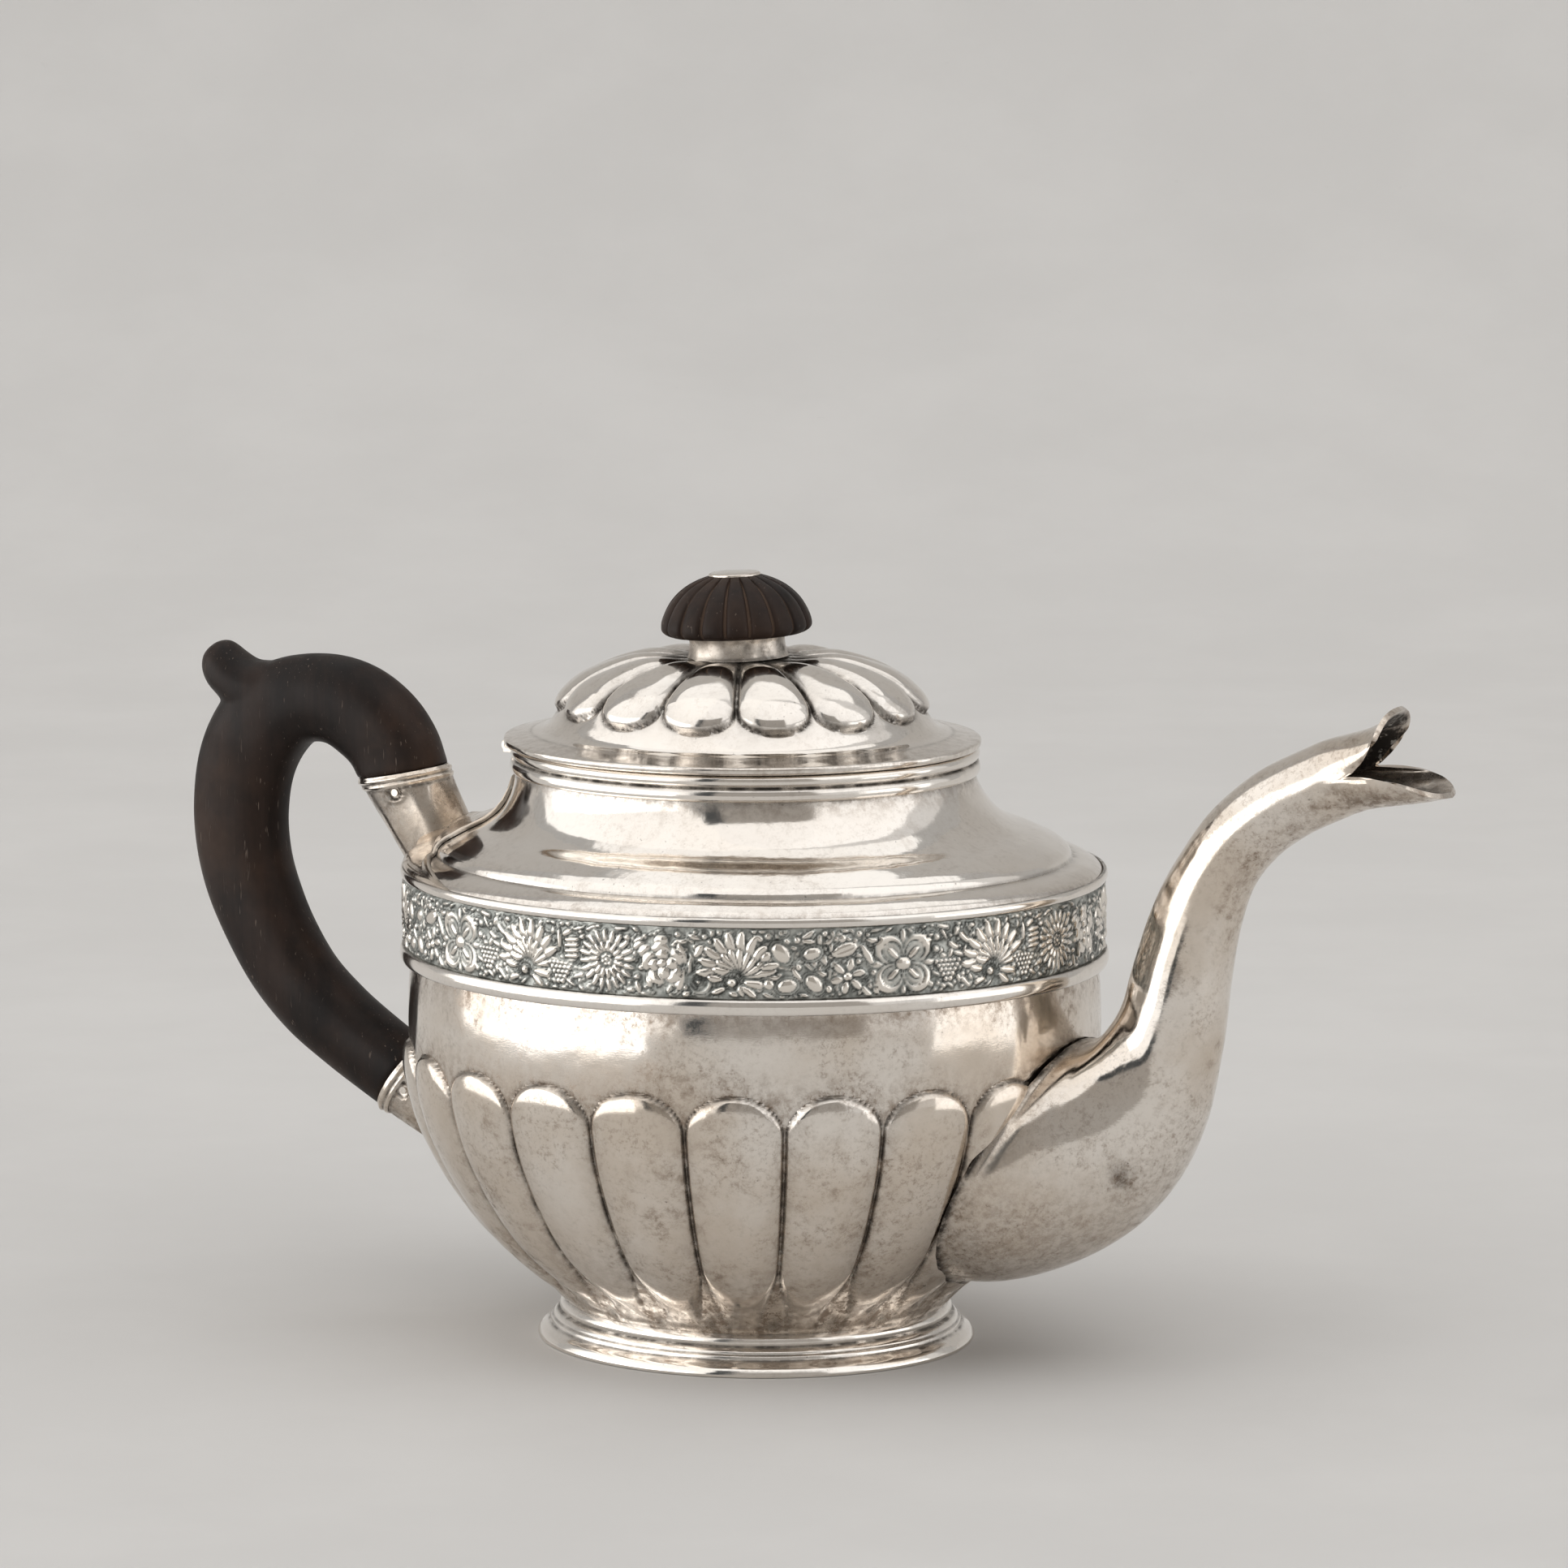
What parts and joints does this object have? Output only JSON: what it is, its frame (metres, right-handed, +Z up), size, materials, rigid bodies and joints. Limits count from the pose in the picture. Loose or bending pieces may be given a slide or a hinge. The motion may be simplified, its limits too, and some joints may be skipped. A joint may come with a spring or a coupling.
{
  "type": "hinged-lid teapot",
  "caption": "Oval silver teapot with lobed bowl, floral frieze, hinged domed lid with wooden knob, swan-neck spout and wooden loop handle in silver sockets.",
  "frame": {"origin": "middle of the foot ring's resting plane, on the pot's vertical axis", "axes": "+Z up, +X towards the spout, the handle and lid hinge at -X, +Y across the pot"},
  "size_m": [0.2979, 0.1424, 0.168],
  "materials": {
    "silver": "polished silver with fine scratches, hammer waves and brown tarnish in the recesses",
    "oxidised_silver": "stamped silver relief with grey-green oxidised ground",
    "dark_wood": "oiled near-black hardwood, satin, with fine pale pores"
  },
  "bodies": {
    "pot": {"bowl": "silver", "foot_ring": "silver", "lower_band": "silver", "frieze_band": "oxidised_silver", "upper_band": "silver", "shoulder": "silver", "rim_collar": "silver", "spout": "silver", "upper_socket": "silver", "upper_socket_band": "silver", "upper_socket_saddle": "silver", "lower_socket": "silver", "lower_socket_band": "silver", "upper_handle_pin": "silver", "lower_handle_pin": "silver", "pot_hinge_knuckles": "silver", "hinge_pin": "silver", "handle_wood": "dark_wood"},
    "lid": {"lid_hinge_knuckles": "silver", "lid_dome": "silver", "lid_bezel": "silver", "knob_collar": "silver", "knob_wood": "dark_wood", "knob_cap": "silver", "knob_stem": "silver", "knob_nut": "silver"}
  },
  "joints": [
    {"name": "lid_hinge", "type": "hinge", "parent": "pot", "child": "lid", "pos_m": [-0.053, 0, 0.129], "axis": [0, -1, 0], "range_deg": [0, 95]}
  ]
}
